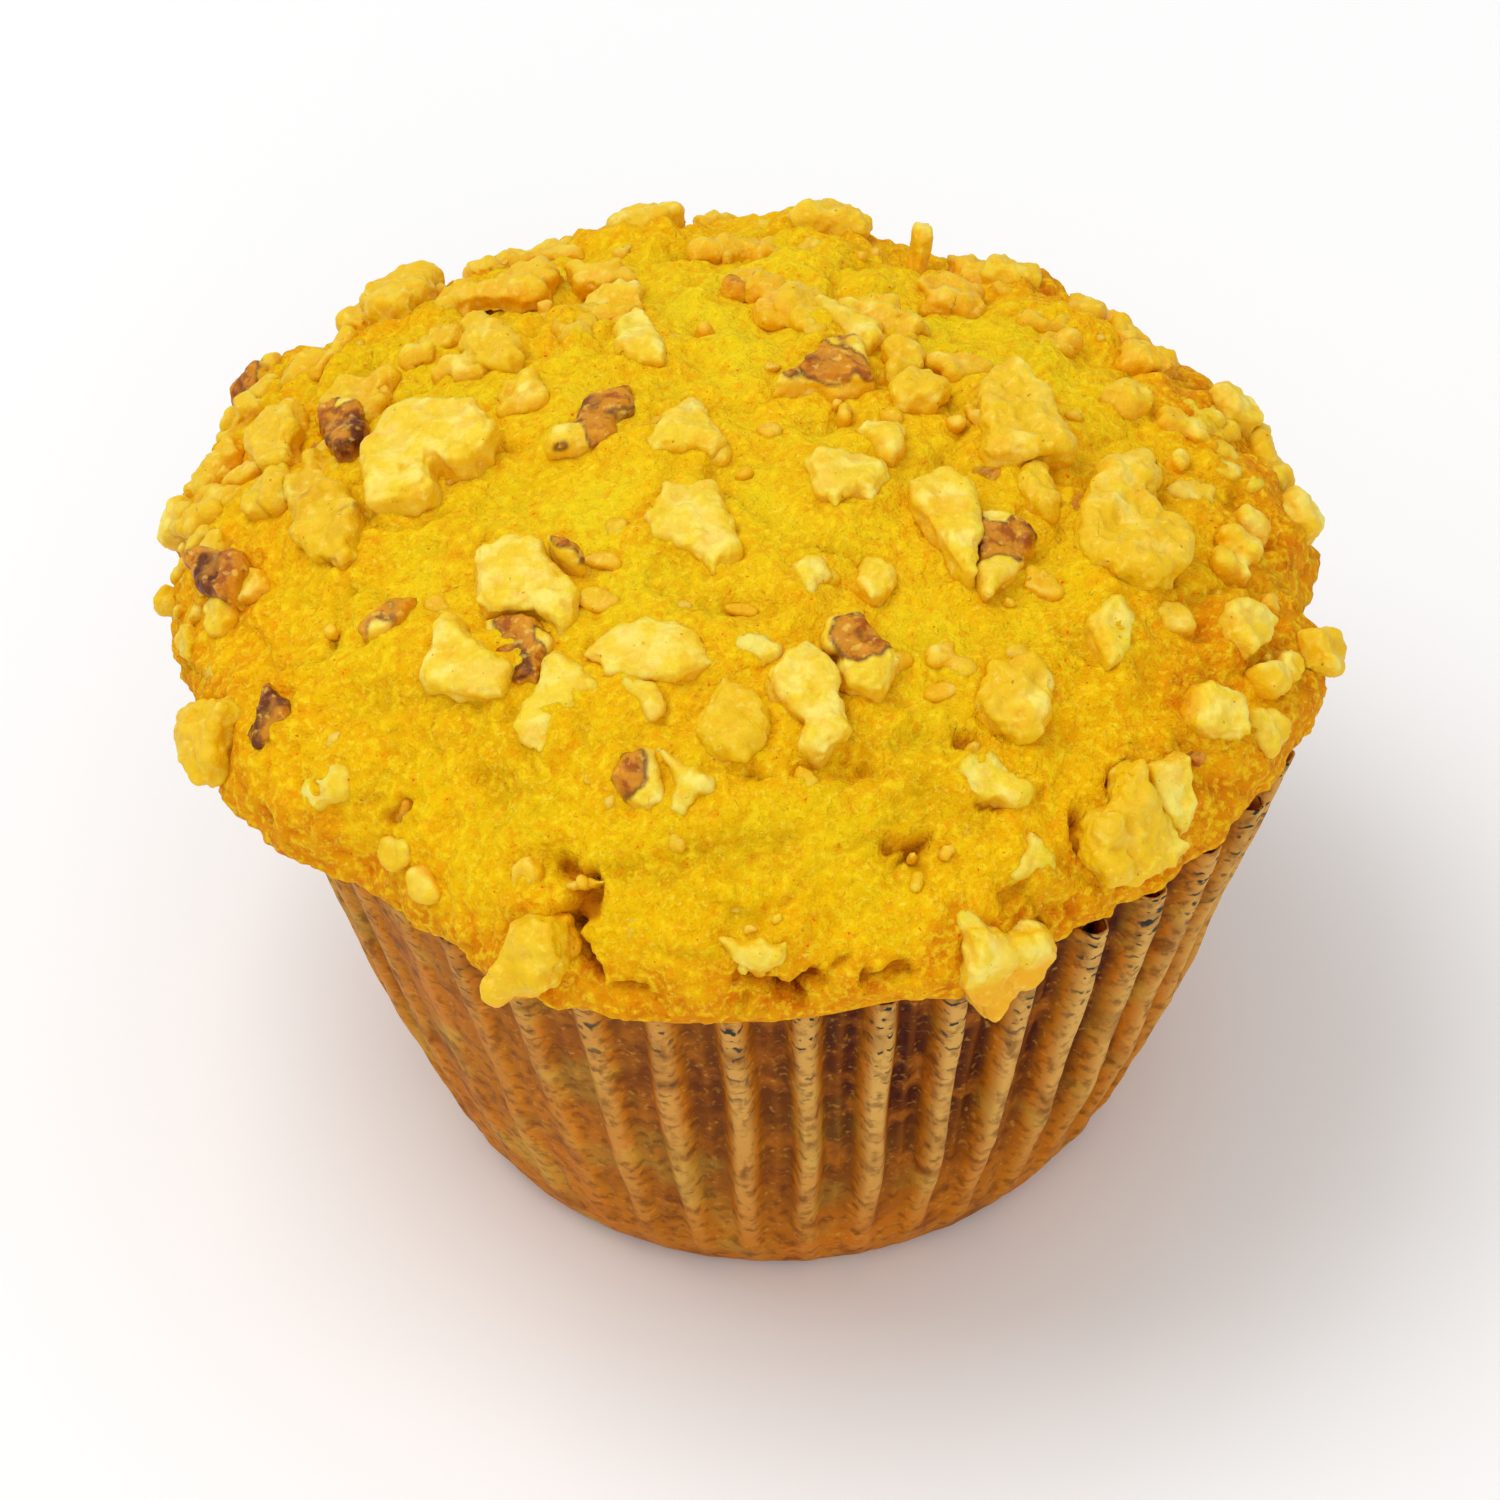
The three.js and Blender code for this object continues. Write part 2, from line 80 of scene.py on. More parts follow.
CRUST_TOP = 1000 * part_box("muffin_cake")[1].z  # millimetres, as all the sizes below
CROWN_CENTRE = (-1.8, 2.0)
CROWN_RADIUS = 39.5
CROWN_EDGE = 40.4
LIP_UNDER, LIP_DROP = 4.5, 2.3
BACK_DROP = 1.3  # how much lower the back of the crown is than an even dome
# Where the rim stands out or in, and where it dips: how far, at which bearing, and how wide.
RIM_BULGES = (
    (0.6, 272, 24), (-3.6, 227, 18), (-1.1, 194, 12), (1.6, 143, 20), (-1.9, 55, 22), (2.2, 335, 18),
)
RIM_DIPS = ((-0.6, 227, 15), (-0.8, 100, 30), (0.4, 10, 25))
CRUST_GRID = 280  # squares along each side of the crust's grid

# Soft folds in the crust: two ends as bearing and tilt on the crown, then width and depth.
FOLDS = [
    ((262, 56), (274, 56), 1.2, 0.7), ((281, 47), (286, 48), 1.0, 0.6),
    ((277, 44), (286, 47), 1.0, 0.6), ((234, 54), (239, 57), 1.0, 0.7),
    ((245, 62), (249, 61), 1.1, 0.8), ((255, 60), (262, 60), 0.9, 0.6),
    ((287, 44), (297, 48), 1.1, 0.7), ((285, 62), (288, 63), 1.2, 0.6),
    ((262, 22), (278, 24), 1.2, 0.5), ((212, 54), (226, 47), 1.3, 0.5),
    ((322, 45), (321, 49), 1.0, 0.7), ((335, 44), (338, 47), 1.0, 0.7),
    ((358, 60), (355, 66), 1.2, 0.8), ((94, 45), (91, 45), 1.4, 0.6),
    ((75, 50), (73, 50), 1.2, 0.8), ((126, 46), (128, 43), 1.3, 0.8),
    ((147, 47), (149, 47), 1.3, 0.7),
]
# Cracks and crumbly gaps, ragged, in the same way; their insides are painted brown as shade, darker
# where deeper.
CRACKS = [
    ((252, 65), (251, 70), 1.3, 2.2), ((251, 71), (252, 77), 0.6, 1.5),
    ((252, 77), (254, 81), 0.5, 1.2), ((286, 59), (289, 59), 0.7, 1.2),
    ((286, 61), (288, 61), 0.5, 0.8), ((272, 83), (275, 80), 0.7, 1.5),
    ((273, 83), (274, 85), 0.5, 1.2), ((268, 78), (271, 80), 0.4, 0.8),
    ((306, 66), (305, 70), 0.4, 1.4), ((305, 70), (305, 73), 0.4, 1.2),
    ((313, 64), (311, 66), 0.4, 1.2), ((296, 58), (299, 59), 0.4, 0.8),
    ((303, 60), (304, 60), 0.3, 0.6), ((298, 48), (300, 50), 0.5, 0.9),
    ((248, 61), (250, 62), 0.4, 1.0), ((280, 82), (284, 82), 0.4, 0.9),
    ((278, 77), (277, 78), 0.3, 0.7), ((295, 74), (297, 74), 0.4, 0.7),
    ((256, 83), (258, 84), 0.4, 0.8), ((226, 66), (225, 69), 0.4, 0.8),
    ((295, 84), (298, 84), 0.5, 0.8), ((200, 83), (199, 87), 0.5, 1.0),
]


def swell(bearing, centre, width):
    """How much of a swell is left at a bearing, in degrees: 1 at its centre and 0 far from it."""
    away = (bearing - centre + 180) % 360 - 180
    return np.exp(-((away / width) ** 2))


def crown_surface(bearing, tilt):
    """Points of the smooth crown. Tilt is 0 at the top, 90 at the widest line and more under it."""
    bearing, tilt = np.broadcast_arrays(np.asarray(bearing, float), np.asarray(tilt, float))
    radius, edge = CROWN_RADIUS, CROWN_EDGE
    for bulge, centre, width in RIM_BULGES:
        radius = radius + bulge * swell(bearing, centre, width)
    for dip, centre, width in RIM_DIPS:
        edge = edge + dip * swell(bearing, centre, width)
    tip = np.radians(tilt)
    under = tilt > 90
    out = np.where(under, radius - LIP_UNDER * (1 - np.sin(tip)), radius * np.sin(tip))
    rise = np.cos(tip) * np.where(under, LIP_DROP, CRUST_TOP - edge)
    rise = rise - BACK_DROP * swell(bearing, 88, 45) * np.sin(tip) ** 2
    x = CROWN_CENTRE[0] + out * np.cos(np.radians(bearing))
    y = CROWN_CENTRE[1] + out * np.sin(np.radians(bearing))
    return np.stack([x, y, edge + rise], -1)


def ripple(points, size, seed=0.0):
    """Smooth noise from -1 to 1 at each point, with swells about size millimetres across."""
    scaled = points / size + seed
    return np.array([noise.noise(p) for p in scaled.tolist()])


def grains(points, size, seed=0.0):
    """Round grains about size millimetres across: 1 at the middle of a grain, 0 between grains."""
    scaled = points / size + seed
    nearest = np.array([noise.voronoi(p)[0][0] for p in scaled.tolist()])
    return np.clip(1 - 1.3 * nearest, 0, 1)


def ease(low, high, value):
    """0 below low, 1 above high, and a smooth step between."""
    share = np.clip((value - low) / (high - low), 0, 1)
    return share * share * (3 - 2 * share)


def distance_to_line(points, start, end):
    """How far each point is from the straight line between two points."""
    along = end - start
    share = np.clip((points - start) @ along / (along @ along), 0, 1)
    return np.linalg.norm(points - start - share[:, None] * along, axis=1)


def new_piece(name, points, faces):
    """A smooth-shaded piece on the muffin, from points in millimetres."""
    mesh = bpy.data.meshes.new(name)
    mesh.from_pydata((points * 0.001).tolist(), [], faces)
    mesh.polygons.foreach_set("use_smooth", [True] * len(mesh.polygons))
    mesh.update()
    piece = bpy.data.objects.new(name, mesh)
    bpy.context.scene.collection.objects.link(piece)
    return piece


def paint(piece, name, values):
    """Keeps a number for each point of a piece, for its material to read."""
    layer = piece.data.attributes.new(name, "FLOAT", "POINT")
    layer.data.foreach_set("value", np.asarray(values, np.float32))


# A square grid wrapped on the crown, so its meshes are about equally fine everywhere.
side = np.linspace(-1, 1, CRUST_GRID + 1)
across, along = np.meshgrid(side, side, indexing="ij")
flat = np.abs(across) >= np.abs(along)
reach = np.where(flat, across, along)
safe = np.where(reach == 0, 1, reach)
eighth = np.pi / 4 * np.where(flat, along, across) / safe
angle = np.where(flat, eighth, np.pi / 2 - eighth)
bearings = np.degrees(np.arctan2(reach * np.sin(angle), reach * np.cos(angle))) % 360

tilts = np.linspace(0, 180, 721)
meridian = crown_surface(0, tilts)
steps = np.linalg.norm(np.diff(meridian, axis=0), axis=1)
travelled = np.concatenate([[0], np.cumsum(steps)])
grid_tilts = np.interp(np.abs(reach), travelled / travelled[-1], tilts)

smooth = crown_surface(bearings, grid_tilts)
lean_u = np.gradient(smooth, axis=0)
lean_v = np.gradient(smooth, axis=1)
outwards = np.cross(lean_u, lean_v)
outwards /= np.linalg.norm(outwards, axis=2, keepdims=True)

smooth = smooth.reshape(-1, 3)
outwards = outwards.reshape(-1, 3)
crust_bearing = bearings.ravel()
crust_tilt = grid_tilts.ravel()
dome = 1 - ease(96, 130, crust_tilt)

relief = 0.85 * ripple(smooth, 10) + 0.75 * ripple(smooth, 4.5, 3.1) + 0.42 * ripple(smooth, 2, 7.7)
relief = relief * (1 + 0.5 * ease(0, 16, smooth[:, 1]))  # the back of the crown is more uneven
crumb = 0.3 * grains(smooth, 1.4) + 0.24 * grains(smooth, 0.9, 5.0)
crumb = crumb + 0.16 * ripple(smooth, 0.7, 1.0)
relief = relief + crumb

# A net of soft creases, which come and go, runs between the swells of the crust.
crease = np.exp(-((ripple(smooth, 6.5, 40.0) / 0.07) ** 2))
crease = crease * ease(-0.15, 0.25, ripple(smooth, 9, 52.0))
relief = relief - 0.5 * crease

ragged = 0.6 * ripple(smooth, 1.8, 2.0) + 0.6 * ripple(smooth, 0.9, 4.0)
# Painted shade: the creases and folds are painted darker, olive-brown.
fold_shade = 0.8 * crease
for start, end, width, depth in FOLDS:
    away = distance_to_line(smooth, crown_surface(*start), crown_surface(*end)) + ragged
    groove = np.exp(-((away / width) ** 2))
    shoulder = np.exp(-((away / width - 2) ** 2))
    fold_shade = np.maximum(fold_shade, groove)
    relief = relief - depth * groove + 0.5 * depth * shoulder
# How much painted shade each crack gets: more where it is deeper.
torn = np.zeros(len(smooth))
for start, end, width, depth in CRACKS:
    away = distance_to_line(smooth, crown_surface(*start), crown_surface(*end)) + 0.8 * ragged
    gap = 1 - ease(0.45 * width, width + 0.25, away)
    relief = relief - depth * gap
    torn = np.maximum(torn, gap * min(1, depth))

# The crust creeps up round each walnut piece, and is painted more orange there: partly browning,
# partly painted shade where the crust meets the piece.
kernels = sorted(name for name in frame["nodes"] if name.startswith("walnut"))


def shape_of(mesh):
    """The points of a mesh in millimetres, and its normals."""
    points = np.empty(3 * len(mesh.vertices))
    mesh.vertices.foreach_get("co", points)
    normals = np.empty(3 * len(mesh.vertices))
    mesh.vertices.foreach_get("normal", normals)
    return points.reshape(-1, 3) * 1000, normals.reshape(-1, 3)


beside = np.zeros(len(smooth))
for name in kernels:
    own, _ = shape_of(frame["nodes"][name].data)
    middle = own.mean(axis=0)
    near = np.flatnonzero(np.linalg.norm(smooth - middle, axis=1) < 10)
    gaps = np.linalg.norm(smooth[near][:, None] - own[None], axis=2).min(axis=1)
    reach_in = 0.75 * np.linalg.norm(smooth[near] - middle, axis=1)
    away = np.minimum(gaps, reach_in)
    beside[near] = np.maximum(beside[near], np.exp(-((away / 2.3) ** 2)))
relief = relief + (0.85 + 0.6 * ripple(smooth, 1.8, 61.0)) * beside

crust_points = smooth + outwards * (relief * dome)[:, None]

# Under the crown the body fills the paper's folds. Its rings go on from the edge of the grid.
# The cup's wall: height, middle radius and the depth of its flutes.
WALL = np.array([
    (0.0, 22.3, 0.0), (0.7, 24.9, 0.3), (4, 26.7, 1.4),
    (16, 30.6, 2.0), (30, 34.1, 2.1), (38, 36.0, 2.2),
])
CUP_HEIGHT = 1000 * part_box("paper_cup")[1].z
FLUTES = 44
RIM_LEAN = np.array((1.0, 0.9))  # how far the rim is off the middle of the base, in x and y
PAPER_FLARE = 1.3  # how far the rim opens on the right
BODY_HEIGHTS = (37.5, 34, 25, 16, 8, 3, 1.2)
BODY_INSET = 1.7
BODY_FLUTES = 0.6  # the depth of the body's flutes, as a share of the cup's
BODY_BOTTOM = 0.6


def fold_shape(share):
    """A flute across its pitch: 1 on the outward fold and -1 in the valley, with a faint rib."""
    away = np.abs((share + 0.5) % 1 - 0.5)
    rib = 0.22 * np.exp(-(((away - 0.5) / 0.07) ** 2))
    return 1 - 2 * ease(0.07, 0.32, away) + rib


def cup_wall(bearing, height, inset=0.0, slant=0.0, deep=1.0):
    """Points of the fluted wall. Slant shifts the folds sideways, as a share of their pitch."""
    radius = np.interp(height, WALL[:, 0], WALL[:, 1]) - inset
    fold = deep * np.interp(height, WALL[:, 0], WALL[:, 2]) / 2
    flare = PAPER_FLARE * ease(20, CUP_HEIGHT, height) * swell(bearing, 336, 24)
    out = radius + flare + fold * fold_shape(bearing / 360 * FLUTES + slant)
    x = RIM_LEAN[0] * height / CUP_HEIGHT + out * np.cos(np.radians(bearing))
    y = RIM_LEAN[1] * height / CUP_HEIGHT + out * np.sin(np.radians(bearing))
    return np.stack([x, y, np.broadcast_to(height, x.shape)], -1)


row = np.arange(CRUST_GRID)
far = CRUST_GRID * (CRUST_GRID + 1)
edge_loop = np.concatenate([
    row * (CRUST_GRID + 1),
    far + row,
    far + CRUST_GRID - row * (CRUST_GRID + 1),
    CRUST_GRID - row,
])[::-1]
body_points = [crust_points]
for height in BODY_HEIGHTS:
    body_points.append(cup_wall(crust_bearing[edge_loop], height, BODY_INSET, deep=BODY_FLUTES))
body_points.append(np.array([[0, 0, BODY_BOTTOM]]))
points = np.concatenate(body_points)

corner = (np.arange(CRUST_GRID)[:, None] * (CRUST_GRID + 1) + np.arange(CRUST_GRID)).ravel()
beyond = corner + CRUST_GRID + 1
faces = np.stack([corner, beyond, beyond + 1, corner + 1], -1).tolist()
ring_size = len(edge_loop)
rings = [edge_loop]
for k in range(len(BODY_HEIGHTS)):
    rings.append(len(crust_points) + k * ring_size + np.arange(ring_size))
for upper, lower in zip(rings, rings[1:]):
    quads = np.stack([upper, np.roll(upper, -1), np.roll(lower, -1), lower], -1)
    faces += quads.tolist()
last = rings[-1]
faces += [(int(a), int(b), len(points) - 1) for a, b in zip(last, np.roll(last, -1))]

cake = new_piece("cake", points, faces)
extra = len(points) - len(crust_points)

# The crust is painted more orange on the right, at the back and, less, on the left: partly browning,
# partly painted shade on the right and at the back.
warm_side = 0.95 * swell(crust_bearing, 10, 50) + 0.4 * swell(crust_bearing, 110, 60)
warm_side = warm_side + 0.4 * swell(crust_bearing, 185, 30)
browning_and_shade = 1.0 * ease(66, 90, crust_tilt + 9 * ripple(smooth, 3, 9.0))
browning_and_shade = browning_and_shade + warm_side * ease(36, 66, crust_tilt + 6 * ripple(smooth, 6, 4.0))
# Round the walnut pieces the crust is painted more orange: partly browning, partly painted shade where
# crust meets kernel.
browning_and_shade = browning_and_shade + 0.45 * beside + 0.22 * ripple(smooth, 5, 12.0)
browning_and_shade = browning_and_shade + 0.12 * ripple(smooth, 1.4, 15.0)
# Round the pieces the crust is also painted less pale, as painted shade.
pale = (1 - ease(22, 66, crust_tilt)) + 0.25 * ripple(smooth, 7, 21.0) - 0.5 * beside
pad = np.zeros(extra)
paint(cake, "browning_and_shade", np.concatenate([np.clip(browning_and_shade, 0, 1), pad + 1]))
paint(cake, "pale", np.concatenate([np.clip(pale, 0, 1), pad]))
paint(cake, "torn", np.concatenate([np.clip(torn, 0, 1), pad]))
paint(cake, "fold_shade", np.concatenate([np.clip(fold_shade, 0, 1), pad]))
# The grains' height, for their paler tops: partly the crumb's own colour, partly painted highlight.
paint(cake, "crumb", np.concatenate([np.clip((crumb + 0.06) / 0.4, 0, 1), pad]))


def srgb(red, green, blue):
    """A colour from 0 to 255 as it looks, for a socket."""
    shares = (red / 255, green / 255, blue / 255)
    linear = [c / 12.92 if c <= 10 / 255 else ((c + 0.055) / 1.055) ** 2.4 for c in shares]
    return (*linear, 1.0)


def speckle_group():
    """Soft speckles of a size in millimetres. Mask is 0 where the noise is Low and 1 where High."""
    group = bpy.data.node_groups.new("speckle", "ShaderNodeTree")
    for name, value in (("Size", 1.0), ("Low", 0.4), ("High", 0.6), ("Detail", 3.0)):
        socket = group.interface.new_socket(name, in_out="INPUT", socket_type="NodeSocketFloat")
        socket.default_value = value
    group.interface.new_socket("Mask", in_out="OUTPUT", socket_type="NodeSocketFloat")
    entry = group.nodes.new("NodeGroupInput")
    leave = group.nodes.new("NodeGroupOutput")
    place = group.nodes.new("ShaderNodeTexCoord")
    per_metre = group.nodes.new("ShaderNodeMath")
    per_metre.operation = "DIVIDE"
    per_metre.inputs[0].default_value = 1000
    cloud = group.nodes.new("ShaderNodeTexNoise")
    cut = group.nodes.new("ShaderNodeMapRange")
    group.links.new(entry.outputs["Size"], per_metre.inputs[1])
    group.links.new(place.outputs["Object"], cloud.inputs["Vector"])
    group.links.new(per_metre.outputs[0], cloud.inputs["Scale"])
    group.links.new(entry.outputs["Detail"], cloud.inputs["Detail"])
    group.links.new(cloud.outputs["Fac"], cut.inputs["Value"])
    group.links.new(entry.outputs["Low"], cut.inputs["From Min"])
    group.links.new(entry.outputs["High"], cut.inputs["From Max"])
    group.links.new(cut.outputs["Result"], leave.inputs["Mask"])
    return group


SPECKLE = speckle_group()


class Finish:
    """A material as it is mixed: each coat goes over the ones before it, where its mask lets it."""

    def __init__(self, name, colour):
        self.material = bpy.data.materials.new(name)
        self.material.use_nodes = True
        self.tree = self.material.node_tree
        self.shader = self.tree.nodes["Principled BSDF"]
        self.colour = self.add("ShaderNodeRGB").outputs[0]
        self.colour.default_value = colour

    def add(self, kind, **settings):
        node = self.tree.nodes.new(kind)
        for key, value in settings.items():
            setattr(node, key, value)
        return node

    def link(self, value, socket):
        if isinstance(value, bpy.types.NodeSocket):
            self.tree.links.new(value, socket)
        else:
            socket.default_value = value

    def layer(self, name):
        return self.add("ShaderNodeAttribute", attribute_name=name).outputs["Fac"]

    def speckle(self, size, low, high, detail=3.0):
        group = self.add("ShaderNodeGroup", node_tree=SPECKLE)
        for name, value in (("Size", size), ("Low", low), ("High", high), ("Detail", detail)):
            group.inputs[name].default_value = value
        return group.outputs["Mask"]

    def math(self, operation, first, second=0.0):
        node = self.add("ShaderNodeMath", operation=operation)
        self.link(first, node.inputs[0])
        self.link(second, node.inputs[1])
        return node.outputs[0]

    def coat(self, colour, mask, strength=1.0, blend="MIX"):
        mix = self.add("ShaderNodeMix", data_type="RGBA", blend_type=blend)
        mix.clamp_factor = True
        self.link(self.math("MULTIPLY", mask, strength), mix.inputs["Factor"])
        self.tree.links.new(self.colour, mix.inputs["A"])
        self.link(colour, mix.inputs["B"])
        self.colour = mix.outputs["Result"]

    def bump(self, height, distance, strength=1.0):
        node = self.add("ShaderNodeBump")
        node.inputs["Strength"].default_value = strength
        node.inputs["Distance"].default_value = distance * 0.001
        self.tree.links.new(height, node.inputs["Height"])
        normal = self.shader.inputs["Normal"]
        if normal.is_linked:
            self.tree.links.new(normal.links[0].from_socket, node.inputs["Normal"])
        self.tree.links.new(node.outputs["Normal"], normal)

    def done(self, roughness, **sockets):
        self.tree.links.new(self.colour, self.shader.inputs["Base Color"])
        self.link(roughness, self.shader.inputs["Roughness"])
        for name, value in sockets.items():
            self.shader.inputs[name.replace("_", " ")].default_value = value
        return self.material


crust = Finish("baked_crumb", srgb(230, 180, 0))
crust.coat(srgb(230, 204, 28), crust.layer("pale"), 0.85)
crust.coat(srgb(214, 182, 10), crust.speckle(5.5, 0.48, 0.64), 0.5)
crust.coat(srgb(236, 146, 0), crust.layer("browning_and_shade"), 0.9)
rim = crust.math("MULTIPLY", crust.math("SUBTRACT", crust.layer("browning_and_shade"), 0.62), 3.0)
crust.coat(srgb(204, 92, 0), rim, 0.7)
streaks = crust.math("MULTIPLY", rim, crust.speckle(1.6, 0.56, 0.66, 5.0))
crust.coat(srgb(170, 60, 0), streaks, 0.6)
# Painted shade in the folds and creases of the crust.
crust.coat(srgb(196, 146, 2), crust.layer("fold_shade"), 0.6)
crust.coat(srgb(238, 160, 2), crust.speckle(4.0, 0.5, 0.7), 0.45)
# Raised grains are painted paler: partly the crumb's own paler grains, partly painted highlight on
# their tops.
crust.coat(srgb(252, 212, 10), crust.layer("crumb"), 0.4)
crust.coat(srgb(250, 216, 30), crust.speckle(0.6, 0.5, 0.64), 0.55)
crust.coat(srgb(232, 140, 0), crust.speckle(0.9, 0.53, 0.68), 0.45)
crust.coat(srgb(255, 232, 90), crust.speckle(0.35, 0.6, 0.72), 0.35)
crust.coat(srgb(214, 60, 4), crust.speckle(0.45, 0.75, 0.79, 1.0), 0.7)
# Painted shade inside the cracks: brown, darkest at the bottom of the deepest ones, and darker where
# the crust is more orange.
crust.coat(srgb(206, 120, 4), crust.layer("torn"), 0.7)
crack_bottom_shade = crust.math("POWER", crust.layer("torn"), 5.0)
crack_shade_strength = crust.math("ADD", crust.math("MULTIPLY", crust.layer("browning_and_shade"), 0.8), 0.2)
crust.coat(srgb(142, 48, 2), crust.math("MULTIPLY", crack_bottom_shade, crack_shade_strength), 0.9)
crust.bump(crust.speckle(0.7, 0.2, 0.8), 0.28, 0.9)
crust.bump(crust.speckle(0.25, 0.25, 0.75), 0.1, 0.8)
crust_material = crust.done(
    0.8,
    Subsurface_Weight=0.2,
    Subsurface_Radius=(1.0, 0.45, 0.08),
    Subsurface_Scale=0.0014,
    Specular_IOR_Level=0.06,
)

cake.data.materials.append(crust_material)
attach(cake, "root")
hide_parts("muffin_cake")


# ---------------------------------------------------------------- The paper cup
# A round sheet of brown baking paper pressed into 44 flutes and a flat base. Butter from the batter
# has soaked it, so it is dark and blotched, and a fine print of dashes shows on its outward folds.

AROUND = FLUTES * 20
ROWS_UP = 62
ROWS_INSIDE = 12  # how many rows of the inner face are made, down from the rim
PAPER = 0.16  # how thick it is
WALL_FOOT = 0.35
BASE_RADII = (3, 9, 16, 21.8)

turns = np.arange(AROUND) * 360 / AROUND
spokes = np.stack([np.cos(np.radians(turns)), np.sin(np.radians(turns)), np.zeros(AROUND)], -1)
rows = []
for share in np.linspace(0, 1, ROWS_UP) ** 1.15:
    height = WALL_FOOT + share * (CUP_HEIGHT - WALL_FOOT)
    loose = spokes * 5.5 + np.array([0, 0, height / 13])
    slant = 0.09 * ripple(loose, 1.0, 3.0)
    deep = 0.95 + 0.2 * ripple(loose, 1.0, 31.0) - 0.75 * swell(turns, 222, 32)
    deep = deep * (0.25 + 0.75 * ease(1, 15, height))
    wall = cup_wall(turns, height, 0.0, slant, deep)
    crinkle = 0.10 * ripple(wall, 2.6, 5.0) + 0.05 * ripple(wall, 1.1, 9.0)
    wall += crinkle[:, None] * spokes
    wall[:, 2] += 0.35 * ripple(loose, 0.8, 17.0) * ease(0.96, 1.0, share)
    rows.append((wall, fold_shape(turns / 360 * FLUTES + slant) * deep))

base = [(spokes * radius, np.zeros(AROUND)) for radius in BASE_RADII]
inner = [(wall - PAPER * spokes, fold) for wall, fold in rows[: -1 - ROWS_INSIDE : -1]]
layers = [wall for wall, _ in base + rows + inner]
points = np.concatenate(layers)
faces = []
for k in range(len(layers) - 1):
    first = k * AROUND + np.arange(AROUND)
    following = np.roll(first, -1)
    faces += np.stack([first, following, following + AROUND, first + AROUND], -1).tolist()
faces.append(list(range(AROUND))[::-1])
cup = new_piece("baking_paper", points, faces)
paint(cup, "fold", np.concatenate([fold for _, fold in base + rows + inner]))

paper = Finish("soaked_paper", srgb(192, 114, 14))
spot_on_paper = paper.add("ShaderNodeSeparateXYZ")
paper.tree.links.new(paper.add("ShaderNodeTexCoord").outputs["Object"], spot_on_paper.inputs[0])
paper_height = spot_on_paper.outputs["Z"]


def between_heights(low, high):
    """A mask on the paper, from 0 at one height to 1 at another, in millimetres."""
    climb = paper.add("ShaderNodeMapRange")
    paper.tree.links.new(paper_height, climb.inputs["Value"])
    climb.inputs["From Min"].default_value = low * 0.001
    climb.inputs["From Max"].default_value = high * 0.001
    return climb.outputs["Result"]


paper.coat(srgb(206, 116, 14), paper.speckle(7, 0.46, 0.62, 5.0), 0.7)
paper.coat(srgb(200, 156, 52), paper.speckle(6, 0.53, 0.66, 5.0), 0.7)
valley = paper.math("MULTIPLY", paper.layer("fold"), -1.1)
shaded = paper.math("MULTIPLY", valley, between_heights(-4, 24))
paper.coat(srgb(72, 20, 0), shaded, 1.0)
soaked = paper.math("MULTIPLY", valley, paper.speckle(2.6, 0.5, 0.66, 4.0))
paper.coat(srgb(196, 112, 18), soaked, 0.6)
lit = paper.math("MULTIPLY", paper.layer("fold"), between_heights(-6, 26))
paper.coat(srgb(212, 168, 88), lit, 0.85)
paper.coat(srgb(84, 40, 4), paper.speckle(0.9, 0.5, 0.66, 4.0), 0.5)
paper.coat(srgb(222, 164, 66), paper.speckle(0.5, 0.58, 0.72), 0.4)
paper.coat(srgb(112, 50, 0), paper.speckle(3.6, 0.5, 0.66, 5.0), 0.5)
bent = paper.math("MULTIPLY", paper.speckle(1.6, 0.2, 0.8, 1.0), 7.0)
stripe = paper.math("SINE", paper.math("ADD", paper.math("MULTIPLY", paper_height, 4600), bent))
stroke = paper.math("MULTIPLY", paper.math("SUBTRACT", stripe, 0.3), 2.4)
broken = paper.math("MULTIPLY", stroke, paper.speckle(0.7, 0.5, 0.55, 1.0))
dashes = paper.math("MULTIPLY", broken, between_heights(22, 36))
# The print is painted fainter in the flute valleys, as painted shade there.
on_fold = paper.math("ADD", paper.math("MULTIPLY", paper.layer("fold"), 0.6), 0.4)
paper.coat(srgb(50, 50, 44), paper.math("MULTIPLY", dashes, on_fold), 0.85)
paper.bump(paper.speckle(0.5, 0.2, 0.8), 0.05, 0.6)
paper_material = paper.done(
    0.6,
    Specular_IOR_Level=0.08,
    Subsurface_Weight=0.08,
    Subsurface_Scale=0.001,
)

cup.data.materials.append(paper_material)
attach(cup, "root")
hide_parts("paper_cup")


# ---------------------------------------------------------------- The walnut pieces
# Chopped walnut kernels pressed into the crown before baking. They are pale, angular and waxy where
# they broke, yellow where batter coats them, and some keep a patch of thin brown skin.

VOXEL = 0.17
CHIP_VOXEL = 0.2
BEHIND = 0.014  # in metres: further back than this, batter lies over the pieces


def crown_height(points):
    """How far each point stands above the smooth crown, in millimetres."""
    x, y = points[:, 0] - CROWN_CENTRE[0], points[:, 1] - CROWN_CENTRE[1]
    bearing = np.degrees(np.arctan2(y, x))
    radius = np.linalg.norm(crown_surface(bearing, 90)[:, :2] - CROWN_CENTRE, axis=1)
    share = np.clip(np.hypot(x, y) / radius, 0, 1)
    skin = crown_surface(bearing, np.degrees(np.arcsin(share)))
    return points[:, 2] - skin[:, 2]


